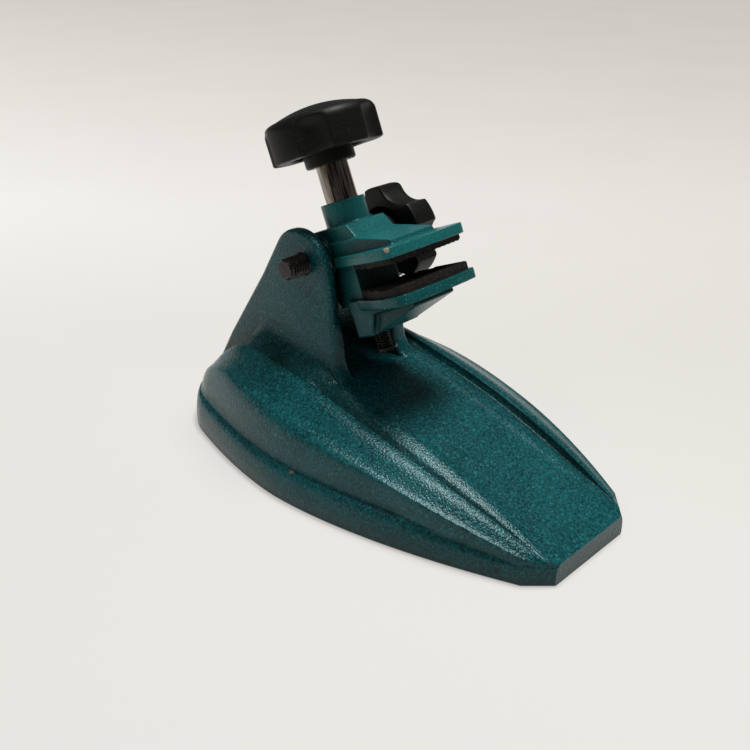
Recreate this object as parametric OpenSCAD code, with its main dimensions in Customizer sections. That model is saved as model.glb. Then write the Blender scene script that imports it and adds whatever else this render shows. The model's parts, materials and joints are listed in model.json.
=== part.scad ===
// Micrometer stand. A heavy cast base carries a tilting clamp between two ears.
// The upper jaw turns on a threaded stud, and the lock knob squeezes the ears on its hub.
// The clamp knob turns a screw that draws the lower jaw up, so that two toothed pads grip a micrometer's frame.
// X runs across the stand, -Y points to its narrow front and Z is up. The base stands on Z = 0.

/* [Base] */
// Length of the base from its front face to its rear edge
base_len = 180; // [165:1:200]
// Greatest width of the base
base_w = 102; // [96:1:114]
// Width of the flat front face
front_w = 39; // [34:0.5:42]
// Height of the flat front face
front_h = 8; // [7:0.25:10]
// Width that the curved sides would have at the front without the cut corners
nose_w = 48; // [44:0.5:54]
// Distance of the widest section behind the middle of the base
waist_y = 14; // [6:1:22]
// Fullness of the curved sides
side_power = 1.7; // [1.5:0.05:2]
// Radius of the two rear corners in plan
rear_r = 30; // [24:1:36]
// Slope of the deck at the front face, in degrees
deck_slope = 20.4; // [18:0.2:22]
// Height of the saddle between the ears
saddle_h = 36; // [33:0.5:37]
// Depth of the groove beside the deck
groove_d = 3; // [1.5:0.25:4]
// Distance between the two upper ridges
ridge_w = 57; // [52:0.5:60]
// Height of the rim round the foot
rim_h = 12.4; // [10:0.2:14]
// How far the rim's edge stands inside the foot
rim_in = 1.5; // [1:0.1:2.5]
// Slope of the broad outer ridges at the front face, in degrees
swell_slope = 18; // [16:0.2:19]
// How far the broad outer ridges stand inside the foot at the ears
swell_in = 7; // [5:0.25:9]
// Least depth of the hollow under the base
hollow_h = 3; // [2:0.5:4]
// Thickness of the casting over that hollow
wall_t = 5.5; // [4.5:0.25:7]
// Width of the face that the base stands on
foot_w = 9; // [7:0.5:12]

/* [Ears] */
// Distance of the pivot behind the middle of the base
pivot_y = 30; // [26:0.5:33]
// Height of the pivot above the foot
pivot_h = 76.6; // [75:0.2:84]
// Radius of the ears' round tops
ear_r = 14.6; // [14:0.2:17]
// Clear width between the ears
ear_gap = 25.2; // [25:0.2:28]
// Thickness of an ear at the pivot
ear_t = 4.6; // [4:0.2:7]
// How much thicker an ear gets towards its foot
ear_draft = 2.8; // [1:0.2:4]
// How far the foot of an ear's front edge stands ahead of its round top
ear_lean = 5.2; // [2:0.2:7]
// Radius of the fillet between an ear's front edge and the deck
ear_fillet = 9; // [6:0.5:11]
// Distance from the pivot back to the foot of an ear's rear edge
ear_back = 54; // [50:0.5:56]

/* [Clamp] */
// Lean of the clamp towards the rear, in degrees
tilt = 23.5; // [15:0.5:40]
// Distance of the clamp screw's axis ahead of the pivot
screw_off = 10.9; // [10:0.1:11.5]
// Radius of the upper jaw's hub
hub_r = 9.4; // [8.6:0.2:10]
// Thickness of a friction washer
friction_t = 0.9; // [0.6:0.1:1.5]
// Radius of a friction washer
friction_r = 8.6; // [7:0.2:9]
// Height of the boss's top above the pivot
boss_h = 17.8; // [16:0.2:20]
// Diameter of the boss
boss_d = 16.4; // [15:0.2:18]
// Height of the pedestal under the boss above the pivot
pedestal_h = 9.4; // [8:0.2:10]
// Width of the pedestal
pedestal_w = 19.4; // [17:0.2:21]
// Width of the rib on a flange
rib_w = 21.6; // [18:0.4:24]
// Width of the jaws at their mouth
jaw_w = 39; // [34:0.5:42]
// Width of the jaws between the ears
jaw_rear_w = 24.4; // [23.6:0.2:24.6]
// Reach of the jaws ahead of the pivot
jaw_reach = 48; // [45:0.5:52]
// Bow of the jaws' front edge
jaw_bow = 1.2; // [0.6:0.2:3]
// Corner radius of the jaws
jaw_corner_r = 3.5; // [3:0.5:7]
// Thickness of the jaws' flanges
flange_t = 3.7; // [3:0.1:5]
// Depth of the upper flange's underside below the pivot
upper_face = 4.8; // [4.5:0.1:6]
// Height of the tier under the lower flange
tier_t = 2.2; // [1.5:0.1:3]
// Run of the slope between the lower jaw's tray and that tier
tier_in = 4; // [3:0.25:5]
// Width of the guide block that the lower jaw slides on
guide_w = 20; // [18:0.2:20.4]
// Distance of the guide block's front face ahead of the pivot
guide_reach = 18.4; // [17.6:0.2:19]
// Depth of the wedge under the lower flange's face
wedge_d = 13.7; // [13:0.1:17]

/* [Pads and mouth] */
// Thickness of the upper pad with its teeth
upper_pad_t = 2.2; // [1.6:0.1:3]
// Thickness of the lower pad with its teeth
lower_pad_t = 3; // [2:0.1:4]
// Clear mouth between the pads
mouth = 7.4; // [5:0.2:9]
// Margin of the pads inside the flanges' edges
pad_in = 1.8; // [1:0.1:3]
// Number of teeth across a pad
teeth = 15; // [9:1:21]
// Height of a tooth
tooth_h = 0.9; // [0.5:0.1:1.2]

/* [Screw and knobs] */
// Diameter of the polished shank
shank_d = 11.8; // [10:0.1:12]
// Diameter of the clamp screw's thread
screw_d = 6; // [5:0.1:7]
// Length of thread that shows under the lower jaw
screw_tail = 9; // [8:0.25:11]
// Thickness of the thrust washer under the shank
thrust_t = 1; // [0.6:0.1:1.6]
// Distance from the boss to the knob's collar
shank_show = 13.4; // [8:0.2:16]
// Diameter of the clamp knob over its lobes
knob_d = 41.6; // [36:0.2:46]
// Height of the clamp knob from its rim to its crown
knob_h = 17; // [15:0.25:20]
// Height of the collar under the clamp knob
collar_h = 4.2; // [3:0.2:6]
// Diameter of that collar
collar_d = 18.6; // [17:0.2:22]
// Diameter of the pivot stud
stud_d = 8; // [7:0.1:8.4]
// Length of the stud that stands out of the left ear
stud_show = 8.9; // [5:0.1:12]
// Diameter of the lock knob over its lobes
lock_d = 38.4; // [35:0.2:42]
// Thickness of the lock knob
lock_t = 15.6; // [13:0.2:18]
// Length of the lock knob's collar
lock_collar_h = 6.2; // [4:0.2:8]
// Thickness of the washer under the lock knob
lock_washer_t = 1.6; // [1:0.1:2.5]
// Number of lobes on each knob
lobes = 5; // [4:1:7]

/* [Hidden] */
$fn = 64;

// Clearances: running fit of a pin in its hole, free hole round a screw, sliding faces, flat faces that meet
fit = 0.05;
free_fit = 0.3;
slide_fit = 0.2;
face_gap = 0.05;
over = 1;

// Plan of the base
half_len = base_len / 2;
rear_c = half_len - rear_r;
side_drop = (base_w - nose_w) / 2;
side_run = waist_y + half_len;
rear_run = (rear_c + rear_r / 4 - waist_y) / side_run;
rear_turn = atan(side_drop * side_power / side_run * pow(rear_run, side_power - 1));
rear_y = rear_c + rear_r * sin(rear_turn);
deck_half = ear_gap / 2 + ear_t + ear_draft;
deck_round = 1.5;
sag_run = 100;
deck_sag = 8.5;
ridge_sag = 10.5;
ridge_lift = 1;
ridge_run = 75;
ridge_power = 1.7;
front_step = 0.6;
front_lip = 1.2;
swell_drop = 0.72;
fall_y = half_len / 2;
fall_power = 2.4;
valley_dip = 1;
swell_sag = 11.5;
swell_run = 108;
rim_run = 87;
cut_run = 8;

// Shape of a cross-section between its lines, as shares of the run and of the height
groove_line = [0.3, 1];
bank_line = [0.62, 0.55];
deck_lip = 0.25;
outer_bank = [[0.1, 0.8], [0.3, 0.32]];
valley = [[0.6, 0.8], [0.8, 0.5]];
side_fall = [[0.35, 0.84], [0.7, 0.42]];
rim_fall = [[0.3, 0.75], [0, 0.33]];

function ease(t) = let (c = min(1, max(0, t))) c * c * (3 - 2 * c);
function from_front(y) = y + half_len;
function half_side(y) =
    base_w / 2 - side_drop * pow(abs(y - waist_y) / side_run, side_power);
function half_w(y) =
    y > rear_y
    ? half_side(rear_y) - rear_r * cos(rear_turn) + sqrt(max(0, rear_r * rear_r - (y - rear_c) * (y - rear_c)))
    : min(half_side(y), front_w / 2 + from_front(y));

// Heights of the deck, the upper ridge and the rim along the base
function climb(y, sag) = front_h + tan(deck_slope) * from_front(y) - sag * pow(from_front(y) / sag_run, 2);
function deck_z(y) = min(saddle_h, climb(y, deck_sag));
function ridge_z(y) = climb(y, ridge_sag) + ridge_lift * ease(from_front(y) / rear_r);
function rim_z(y) = rim_h - (rim_h - front_h + front_lip) * pow(1 - min(1, from_front(y) / rim_run), 2);
function swell_z(y) =
    front_h - swell_drop + tan(swell_slope) * from_front(y) - swell_sag * pow(from_front(y) / sag_run, 2);
function swell_inset(y) = 2 * front_step + (swell_in - 2 * front_step) * min(1, from_front(y) / swell_run);
function crown(y) = y < fall_y ? 1 : 1 - pow((y - fall_y) / (half_len - fall_y), fall_power);

// One half of a cross-section, from the middle of the deck down to the foot
function section(y) =
    let (h = half_w(y),
        shrink = y > rear_y ? h / half_w(rear_y) : 1,
        grow = ease(from_front(y) / rear_r),
        k = crown(y),
        xr = h - (front_step + (rim_in - front_step) * grow) * shrink,
        xc = h - swell_inset(y) * shrink,
        xd = min(deck_half, h - 4 * front_step) * shrink,
        spread = 1 - pow(1 - min(1, from_front(y) / ridge_run), ridge_power),
        xa = xd + (front_step + (ridge_w / 2 - deck_half - front_step) * spread) * shrink,
        zr = rim_z(y),
        zd = zr + (deck_z(y) - zr) * k,
        za = zr + (ridge_z(y) - zr) * k,
        zc = zr + (swell_z(y) - zr) * k,
        dip = min(groove_d, zd / 4) * grow * k)
    concat([[0, zd], [xd - deck_round * grow * shrink, zd], [xd, zd - deck_lip * dip],
        [xd + groove_line[0] * (xa - xd), zd - groove_line[1] * dip],
        [xd + bank_line[0] * (xa - xd), za - bank_line[1] * dip], [xa, za]],
        [for (b = outer_bank) [xa + b[0] * (xc - xa), zc + b[1] * (za - zc)]],
        [for (v = valley) [xa + v[0] * (xc - xa), zc - v[1] * valley_dip * grow * k]],
        [[xc, zc]],
        [for (f = side_fall) [xc + f[0] * (xr - xc), zr + f[1] * (zc - zr)]],
        [[xr, zr]],
        [for (f = rim_fall) [h - f[0] * (h - xr), f[1] * zr]],
        [[h, 0]]);

// Index of the broad outer ridge among a cross-section's points
swell_line = 6 + len(outer_bank) + len(valley);

// Places of the cross-sections along the base
stations = concat([for (i = [0 : 2]) i * cut_run / 2 - half_len],
    [for (i = [1 : 14]) cut_run - half_len + i * (rear_y + half_len - cut_run) / 14],
    [for (i = [1 : 6]) rear_c + rear_r * sin(rear_turn + (90 - rear_turn) * i / 6)]);

// Ears
ear_x = ear_gap / 2;
ear_out = ear_x + ear_t;
ear_set_back = 2.3;
ear_set_down = 2.5;
ear_c = [pivot_y + ear_set_back, pivot_h - ear_set_down];
ear_front = ear_c[0] - ear_r - ear_lean;
ear_rear = pivot_y + ear_back;
ear_rear_z = 20;
ear_root = saddle_h / 2;
ear_straight_drop = 11;
ear_straight = pivot_h - ear_straight_drop;

// Clamp, in its own frame: the pivot is the origin, the jaws reach towards -Y and the screw runs along Z
hub_w = ear_gap - 2 * (friction_t + 2 * face_gap);
seat_depth = 9.9;
seat_h = boss_h - seat_depth;
guide_sink = 2.4;
jaw_close = mouth - slide_fit;
pocket_spare = 0.5;
upper_top = flange_t - upper_face;
lower_face = -(upper_face + upper_pad_t + mouth + lower_pad_t);
guide_end = lower_face - guide_sink;
pocket_floor = guide_end - jaw_close - pocket_spare;
wedge_end = lower_face - wedge_d;
flare_upper = screw_off + 2.5;
flare_lower = guide_reach - 1;
flare_end = jaw_reach - 5;
upper_rear = screw_off - 0.9;
lower_rear = screw_off + 1;
pocket_w = guide_w + 2 * slide_fit;
pad_rear = guide_reach + 4 * slide_fit;
slope_foot = 4.2;
rib_short = 7.3;
rib_reach = jaw_reach - rib_short;
rib_front = 0.8;

// Screw and knobs
shank_r = shank_d / 2;
shoulder = seat_h + thrust_t;
collar_z = boss_h + shank_show;
rim_level = collar_z + collar_h;
tang_r = 4;
insert_r = 6.5;
insert_share = 0.62;
insert_top = rim_level + insert_share * knob_h;
tail_end = wedge_end - screw_tail;
ring_t = 1;
ring_grip = 0.5;
ring_r = screw_d / 2 + 1.4;
ring_z = tail_end + ring_t;
knob_wall = 2.6;
knob_edge = 4;
knob_crown = 3;
knob_flute_arc = 32;
knob_flute_depth = 1.8;
lock_flute_arc = 45;
lock_flute_depth = 2.7;
knob_phase = -176;
lock_phase = 22.5;
lock_face = ear_out + lock_washer_t;
lock_rim = lock_face + lock_collar_h;
washer_r = 8.5;
lock_edge = 3.5;
lock_insert_l = 14;

iron = [0.07, 0.30, 0.33];
jaw_paint = [0.10, 0.40, 0.42];
plastic = [0.07, 0.07, 0.07];
rubber = [0.10, 0.09, 0.09];
steel = [0.72, 0.70, 0.68];
oxide = [0.20, 0.18, 0.17];
brass = [0.75, 0.60, 0.30];

module clamp_frame() {
    translate([0, pivot_y, pivot_h]) rotate([-tilt, 0, 0]) children();
}

// A cylinder along X between two places
module along_x(r, x0, x1) {
    translate([x0, 0, 0]) rotate([0, 90, 0]) cylinder(r = r, h = x1 - x0);
}

// A flat outline in Y and Z, thickened to both sides of X = 0
module prism_x(width, outline) {
    rotate([90, 0, 90]) linear_extrude(width, center = true) polygon(outline);
}

// Both halves of a cross-section at a place along the base
function both_halves(half, y) =
    concat([for (i = [len(half) - 1 : -1 : 1]) [-half[i][0], y, half[i][1]]], [for (p = half) [p[0], y, p[1]]]);

// Half of a cross-section of the hollow under the base, one wall's thickness inside the outer one
function hollow_section(y) =
    let (outer = section(y),
        x = half_w(y) - foot_w,
        top = max(hollow_h, outer[0][1] - groove_d - wall_t),
        side = max(hollow_h, outer[swell_line][1] - valley_dip - wall_t))
    [[0, top], [min(outer[1][0], x - foot_w / 4), top], [x, min(top, side)], [x, -over]];

// Cross-sections joined into one closed skin
module skin(rows) {
    n = len(rows[0]);
    m = len(rows);
    points = [for (row = rows) for (p = row) p];
    sides = [for (j = [0 : m - 2]) for (i = [0 : n - 1]) let (a = j * n + i, b = j * n + (i + 1) % n)
        each [[a, a + n, b], [b, a + n, b + n]]];
    front = [[for (i = [0 : n - 1]) i]];
    rear = [[for (i = [n - 1 : -1 : 0]) (m - 1) * n + i]];
    polyhedron(points, concat(sides, front, rear));
}

// An ear: its side outline with a round top, thickened towards its foot on the outside
module ear(side) {
    reach = ear_rear - ear_c[0];
    drop = ear_c[1] - ear_rear_z;
    turn = acos(ear_r / sqrt(reach * reach + drop * drop)) - atan2(drop, reach);
    lean = atan2(ear_lean, ear_c[1] - saddle_h - ear_fillet);
    fillet_y = ear_front - ear_fillet;
    fillet_z = deck_z(fillet_y) + ear_fillet;
    outline = concat([ear_c + ear_r * [cos(turn), sin(turn)], [ear_rear, ear_rear_z], [ear_rear, ear_root],
        [fillet_y, ear_root]],
        [for (a = [90 : -15 : 0]) [fillet_y + ear_fillet * cos(a), fillet_z - ear_fillet * sin(a)]],
        [ear_c + ear_r * [-cos(lean), sin(lean)]]);
    top = ear_c[1] + ear_r + over;
    profile = [[ear_x, ear_root], [deck_half, ear_root], [deck_half, saddle_h], [ear_out, ear_straight],
        [ear_out, top], [ear_x, top]];
    mirror([side < 0 ? 1 : 0, 0, 0]) intersection() {
        union() {
            prism_x(2 * deck_half, outline);
            translate([0, ear_c[0], ear_c[1]]) along_x(ear_r, 0, deck_half);
        }
        rotate([90, 0, 0]) linear_extrude(2 * base_len, center = true) polygon(profile);
    }
}

module base_casting() {
    color(iron) difference() {
        union() {
            skin([for (y = stations) both_halves(section(y), y)]);
            ear(-1);
            ear(1);
        }
        translate([0, pivot_y, pivot_h]) along_x(stud_d / 2 + fit, -ear_out - over, 0);
        translate([0, pivot_y, pivot_h]) along_x(stud_d / 2 + free_fit, 0, ear_out + over);
        skin([for (y = stations) if (y > 2 * foot_w - half_len && y < half_len - foot_w)
            both_halves(hollow_section(y), y)]);
    }
}

// Friction washers between the hub and the ears
module friction_washer(x0) {
    color(oxide) translate([0, pivot_y, pivot_h]) difference() {
        along_x(friction_r, x0, x0 + friction_t);
        along_x(stud_d / 2 + free_fit, x0 - over, x0 + friction_t + over);
    }
}

module friction_washer_left() {
    friction_washer(face_gap - ear_x);
}

module friction_washer_right() {
    friction_washer(ear_x - face_gap - friction_t);
}

module lock_washer() {
    color(steel) translate([0, pivot_y, pivot_h]) difference() {
        along_x(washer_r, ear_out, lock_face);
        along_x(stud_d / 2 + free_fit, ear_out - over, lock_face + over);
    }
}

module lock_stud() {
    chamfer = 0.7;
    color(oxide) translate([0, pivot_y, pivot_h]) union() {
        along_x(stud_d / 2, -ear_out - stud_show + chamfer, lock_face + lock_insert_l);
        translate([-ear_out - stud_show, 0, 0]) rotate([0, 90, 0])
            cylinder(r1 = stud_d / 2 - chamfer, r2 = stud_d / 2, h = chamfer);
    }
}

// Outline of a lobed knob, cut by round flutes that run along its axis
module flutes(d, arc, depth, h) {
    half_chord = d / 2 * sin(arc / 2);
    r = (half_chord * half_chord + depth * depth) / (2 * depth);
    for (i = [0 : lobes - 1])
        rotate(i * 360 / lobes + 180 / lobes)
            translate([d / 2 * cos(arc / 2) - depth + r, 0, -over]) cylinder(r = r, h = h + 2 * over);
}

// Solid of a knob with a shallow crown and a rounded edge, standing on Z = 0
module crowned_disc(d, h, edge, crown_rise) {
    r = d / 2;
    rotate_extrude() polygon(concat([[0, 0], [r, 0]],
        [for (a = [0 : 15 : 75]) [r - edge + edge * cos(a), h - crown_rise - edge + edge * sin(a)]],
        [for (t = [1 : -0.2 : 0.2]) [(r - edge) * t, h - crown_rise * t * t]], [[0, h]]));
}

// A hollow lobed knob with its rim on Z = 0 and a collar below it, bored for an insert
module lobed_knob(d, h, edge, arc, depth, collar, bore) {
    hollow = h - 2 * knob_wall - edge;
    difference() {
        union() {
            difference() {
                crowned_disc(d, h, edge, knob_crown);
                flutes(d, arc, depth, h);
                translate([0, 0, -over]) difference() {
                    cylinder(d = d - 4 * knob_wall - 2 * depth, h = hollow + over);
                    cylinder(d = collar_d, h = hollow + over);
                }
            }
            translate([0, 0, -collar]) cylinder(d = collar_d, h = collar);
        }
        translate([0, 0, -collar - over]) cylinder(r = insert_r, h = bore + over);
    }
}

module lock_knob() {
    color(plastic) translate([lock_rim, pivot_y, pivot_h]) rotate([0, 90, 0]) rotate(180 - lock_phase)
        lobed_knob(lock_d, lock_t, lock_edge, lock_flute_arc, lock_flute_depth, lock_collar_h, lock_insert_l);
}

module lock_knob_insert() {
    color(brass) translate([0, pivot_y, pivot_h]) difference() {
        along_x(insert_r, lock_face, lock_face + lock_insert_l);
        along_x(stud_d / 2, lock_face - over, lock_face + lock_insert_l + over);
    }
}

// Half of a jaw's plan from its rear to the middle of its front edge, as width and reach
function jaw_side(inset, rear, flare) =
    let (wr = jaw_rear_w / 2 - inset,
        wf = jaw_w / 2 - inset,
        reach = jaw_reach - inset,
        r = max(1, jaw_corner_r - inset))
    concat([[wr, rear]],
        [for (t = [0 : 0.25 : 1]) [wr + (wf - wr) * sin(90 * t), flare + (flare_end - flare) * t]],
        [for (a = [0 : 15 : 90]) [wf - r + r * cos(a), reach - r + r * sin(a)]],
        [for (t = [0.6, 0.2]) [(wf - r) * t, reach + jaw_bow * (1 - t * t)]]);

// A slab with a jaw's plan between two heights
module jaw_slab(z0, z1, inset, rear, flare) {
    side = jaw_side(inset, rear, flare);
    translate([0, 0, z0]) linear_extrude(z1 - z0) mirror([0, 1]) polygon(concat(side,
        [for (i = [len(side) - 1 : -1 : 0]) [-side[i][0], side[i][1]]]));
}

module upper_jaw() {
    slope_run = 3.7;
    edge = -guide_reach - 1.3;
    color(jaw_paint) clamp_frame() difference() {
        union() {
            along_x(hub_r, -hub_w / 2, hub_w / 2);
            translate([0, -screw_off, 0]) cylinder(d = boss_d, h = boss_h);
            prism_x(pedestal_w, [[0, pedestal_h], [edge, pedestal_h], [edge - slope_run, slope_foot],
                [edge - slope_run, upper_top], [0, upper_top]]);
            prism_x(rib_w, [[0, slope_foot], [edge - slope_run, slope_foot], [-rib_reach, rib_front],
                [-rib_reach - rib_front, upper_top], [0, upper_top]]);
            prism_x(guide_w, [[0, slope_foot], [-guide_reach, slope_foot],
                [-guide_reach, guide_end], [-screw_off / 2, guide_end], [hub_r / 2, -hub_r / 2]]);
            jaw_slab(-upper_face, upper_top, 0, upper_rear, flare_upper);
        }
        along_x(stud_d / 2 + fit, -ear_gap, ear_gap);
        translate([0, -screw_off, seat_h]) cylinder(r = shank_r + fit, h = boss_h);
        translate([0, -screw_off, guide_end - over])
            cylinder(r = screw_d / 2 + free_fit, h = boss_h - guide_end);
    }
}

// Saw-toothed outline across a pad, its teeth pointing to +Y, from a flat back at Y = 0
function tooth_line(t) =
    let (pitch = jaw_w / teeth)
    concat([[jaw_w / 2, 0]], [for (i = [0 : teeth - 1]) each [[jaw_w / 2 - i * pitch, t - tooth_h],
        [jaw_w / 2 - (i + 0.5) * pitch, t]]], [[-jaw_w / 2, t - tooth_h], [-jaw_w / 2, 0]]);

// A toothed pad on Z = 0 with its teeth running from front to rear
module toothed_pad(t) {
    intersection() {
        jaw_slab(-over, t + over, pad_in, pad_rear, pad_rear + over);
        rotate([90, 0, 0]) linear_extrude(2 * jaw_reach, center = true) polygon(tooth_line(t));
        translate([-jaw_w, -jaw_reach - jaw_w, -over])
            cube([2 * jaw_w, jaw_reach + jaw_w - pad_rear, t + 2 * over]);
    }
}

module upper_pad() {
    color(rubber) clamp_frame() translate([0, 0, -upper_face]) mirror([0, 0, 1]) toothed_pad(upper_pad_t);
}

module lower_pad() {
    color(rubber) clamp_frame() translate([0, 0, lower_face]) toothed_pad(lower_pad_t);
}

module lower_jaw() {
    tray_front = guide_reach + 1.2;
    nose = jaw_reach - 5;
    under = lower_face - flange_t;
    color(jaw_paint) clamp_frame() difference() {
        union() {
            jaw_slab(under, lower_face, 0, lower_rear, flare_lower);
            prism_x(jaw_rear_w, [[-lower_rear, under], [-lower_rear, wedge_end], [-tray_front, wedge_end],
                [-tray_front - tier_in, under - tier_t], [-nose, under - tier_t / 4], [-nose, under]]);
            prism_x(guide_w, [[-tray_front, under], [-tray_front, wedge_end], [-nose, under - tier_t],
                [-nose, under]]);
            translate([0, -screw_off, wedge_end]) cylinder(d = boss_d, h = pocket_floor - wedge_end);
        }
        translate([-pocket_w / 2, -guide_reach - slide_fit, pocket_floor])
            cube([pocket_w, guide_reach + slide_fit, wedge_d]);
        translate([0, -screw_off, wedge_end - over]) cylinder(r = screw_d / 2 + fit, h = wedge_d);
    }
}

module clamp_screw() {
    point = 0.6;
    color(steel) clamp_frame() translate([0, -screw_off, 0]) difference() {
        union() {
            translate([0, 0, tail_end]) cylinder(r1 = screw_d / 2 - point, r2 = screw_d / 2, h = point);
            translate([0, 0, tail_end + point]) cylinder(d = screw_d, h = shoulder - tail_end - point);
            translate([0, 0, shoulder]) cylinder(d = shank_d, h = collar_z - shoulder);
            translate([0, 0, collar_z]) cylinder(r = tang_r, h = insert_top - collar_z);
        }
        translate([0, 0, ring_z]) difference() {
            cylinder(r = screw_d, h = ring_t);
            cylinder(r = screw_d / 2 - ring_grip, h = ring_t);
        }
    }
}

module thrust_washer() {
    color(steel) clamp_frame() translate([0, -screw_off, seat_h]) difference() {
        cylinder(r = shank_r - free_fit, h = thrust_t);
        translate([0, 0, -over]) cylinder(r = screw_d / 2 + free_fit, h = thrust_t + 2 * over);
    }
}

module screw_stop_ring() {
    color(oxide) clamp_frame() translate([0, -screw_off, ring_z]) difference() {
        cylinder(r = ring_r, h = ring_t);
        translate([0, 0, -over]) cylinder(r = screw_d / 2 - ring_grip, h = ring_t + 2 * over);
        translate([0, -screw_d / 2 + ring_grip, -over])
            cube([2 * ring_r, screw_d - 2 * ring_grip, ring_t + 2 * over]);
    }
}

module clamp_knob() {
    color(plastic) clamp_frame() translate([0, -screw_off, rim_level]) rotate(knob_phase)
        lobed_knob(knob_d, knob_h, knob_edge, knob_flute_arc, knob_flute_depth, collar_h, insert_top - collar_z);
}

module clamp_knob_insert() {
    color(brass) clamp_frame() translate([0, -screw_off, collar_z]) difference() {
        cylinder(r = insert_r, h = insert_top - collar_z);
        translate([0, 0, -over]) cylinder(r = tang_r, h = insert_top - collar_z + 2 * over);
    }
}

base_casting();
friction_washer_left();
friction_washer_right();
lock_washer();
lock_stud();
lock_knob();
lock_knob_insert();
upper_jaw();
upper_pad();
lower_jaw();
lower_pad();
clamp_screw();
thrust_washer();
screw_stop_ring();
clamp_knob();
clamp_knob_insert();
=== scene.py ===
import json
import math

import bpy
import numpy as np
from mathutils import Matrix, Vector

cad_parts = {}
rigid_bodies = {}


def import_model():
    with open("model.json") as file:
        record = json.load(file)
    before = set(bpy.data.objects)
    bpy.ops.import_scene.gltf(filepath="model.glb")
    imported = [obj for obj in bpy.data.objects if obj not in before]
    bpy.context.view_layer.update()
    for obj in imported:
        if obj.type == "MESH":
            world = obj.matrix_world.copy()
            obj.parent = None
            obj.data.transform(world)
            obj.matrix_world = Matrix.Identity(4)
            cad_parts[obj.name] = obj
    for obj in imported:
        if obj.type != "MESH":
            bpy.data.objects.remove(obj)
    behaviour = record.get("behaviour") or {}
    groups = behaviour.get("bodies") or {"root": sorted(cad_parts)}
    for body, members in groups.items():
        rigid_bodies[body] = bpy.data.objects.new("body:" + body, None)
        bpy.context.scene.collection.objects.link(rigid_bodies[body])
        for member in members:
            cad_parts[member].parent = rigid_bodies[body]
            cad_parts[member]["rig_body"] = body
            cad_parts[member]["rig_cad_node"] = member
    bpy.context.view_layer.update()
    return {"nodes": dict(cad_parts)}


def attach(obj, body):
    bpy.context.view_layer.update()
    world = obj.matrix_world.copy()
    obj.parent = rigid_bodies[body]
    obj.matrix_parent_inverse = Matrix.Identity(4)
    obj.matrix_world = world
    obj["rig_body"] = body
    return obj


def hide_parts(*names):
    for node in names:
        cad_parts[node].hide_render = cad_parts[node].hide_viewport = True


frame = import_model()
nodes = frame["nodes"]
mm = 0.001
print("frame loaded,", len(nodes), "nodes")

pivot = Vector((0, 30 * mm, 76.6 * mm))  # the stud's axis runs along X through here
clampTilt = math.radians(-23.5)  # the clamp leans back by this at rest
clampPlace = Matrix.Translation(pivot) @ Matrix.Rotation(clampTilt, 4, "X")
screwAxis = Vector((0, -10.9 * mm, 0))  # the clamp screw's axis in the clamp's own frame
studPlace = Matrix.Translation(pivot) @ Matrix.Rotation(math.radians(90), 4, "Y")


def pickOnly(obj):
    if bpy.context.object and bpy.context.object.mode != "OBJECT":
        bpy.ops.object.mode_set(mode="OBJECT")
    bpy.ops.object.select_all(action="DESELECT")
    obj.select_set(True)
    bpy.context.view_layer.objects.active = obj
    return obj


def nameNew(name):
    obj = bpy.context.object
    obj.name = name
    obj.data.name = name
    return obj


def editAll(obj):
    pickOnly(obj)
    bpy.ops.object.mode_set(mode="EDIT")
    bpy.ops.mesh.select_all(action="SELECT")


def editDone():
    bpy.ops.object.mode_set(mode="OBJECT")


def pickVerts(obj, test):
    # leaves edit mode with only the vertices picked that pass the test
    editAll(obj)
    bpy.ops.mesh.select_mode(type="VERT")
    bpy.ops.mesh.select_all(action="DESELECT")
    editDone()
    for v in obj.data.vertices:
        v.select = bool(test(v.co))
    bpy.ops.object.mode_set(mode="EDIT")


def tidyMesh(obj, merge=0.00001):
    editAll(obj)
    bpy.ops.mesh.remove_doubles(threshold=merge)
    bpy.ops.mesh.normals_make_consistent(inside=False)
    editDone()


def useModifier(obj, kind, **values):
    pickOnly(obj)
    m = obj.modifiers.new(kind.lower(), kind)
    for key, value in values.items():
        setattr(m, key, value)
    bpy.ops.object.modifier_apply(modifier=m.name)


def cutBy(obj, tool, how="DIFFERENCE"):
    useModifier(obj, "BOOLEAN", operation=how, solver="EXACT", object=tool)
    bpy.data.objects.remove(tool)


def putAt(obj, place):
    pickOnly(obj)
    obj.matrix_world = place
    bpy.ops.object.transform_apply(location=True, rotation=True, scale=True)


def castSkin(obj, voxel, rounds):
    # an even skin over the solid's shape, with its edges rounded as a casting's
    useModifier(obj, "REMESH", mode="VOXEL", voxel_size=voxel)
    useModifier(obj, "SMOOTH", factor=0.5, iterations=rounds)


def shadeSoft(obj, angle):
    pickOnly(obj)
    bpy.ops.object.shade_smooth_by_angle(angle=math.radians(angle))


def copyNode(name, newName):
    obj = nodes[name].copy()
    obj.data = nodes[name].data.copy()
    obj.parent = None
    bpy.context.scene.collection.objects.link(obj)
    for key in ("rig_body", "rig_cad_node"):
        del obj[key]
    obj.data.materials.clear()
    obj.name = newName
    obj.data.name = newName
    tidyMesh(obj)
    return obj


def place(obj, body, slot, material, *stoodFor):
    obj.data.materials.clear()
    obj.data.materials.append(material)
    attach(obj, body)
    if stoodFor:
        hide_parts(*stoodFor)


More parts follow.
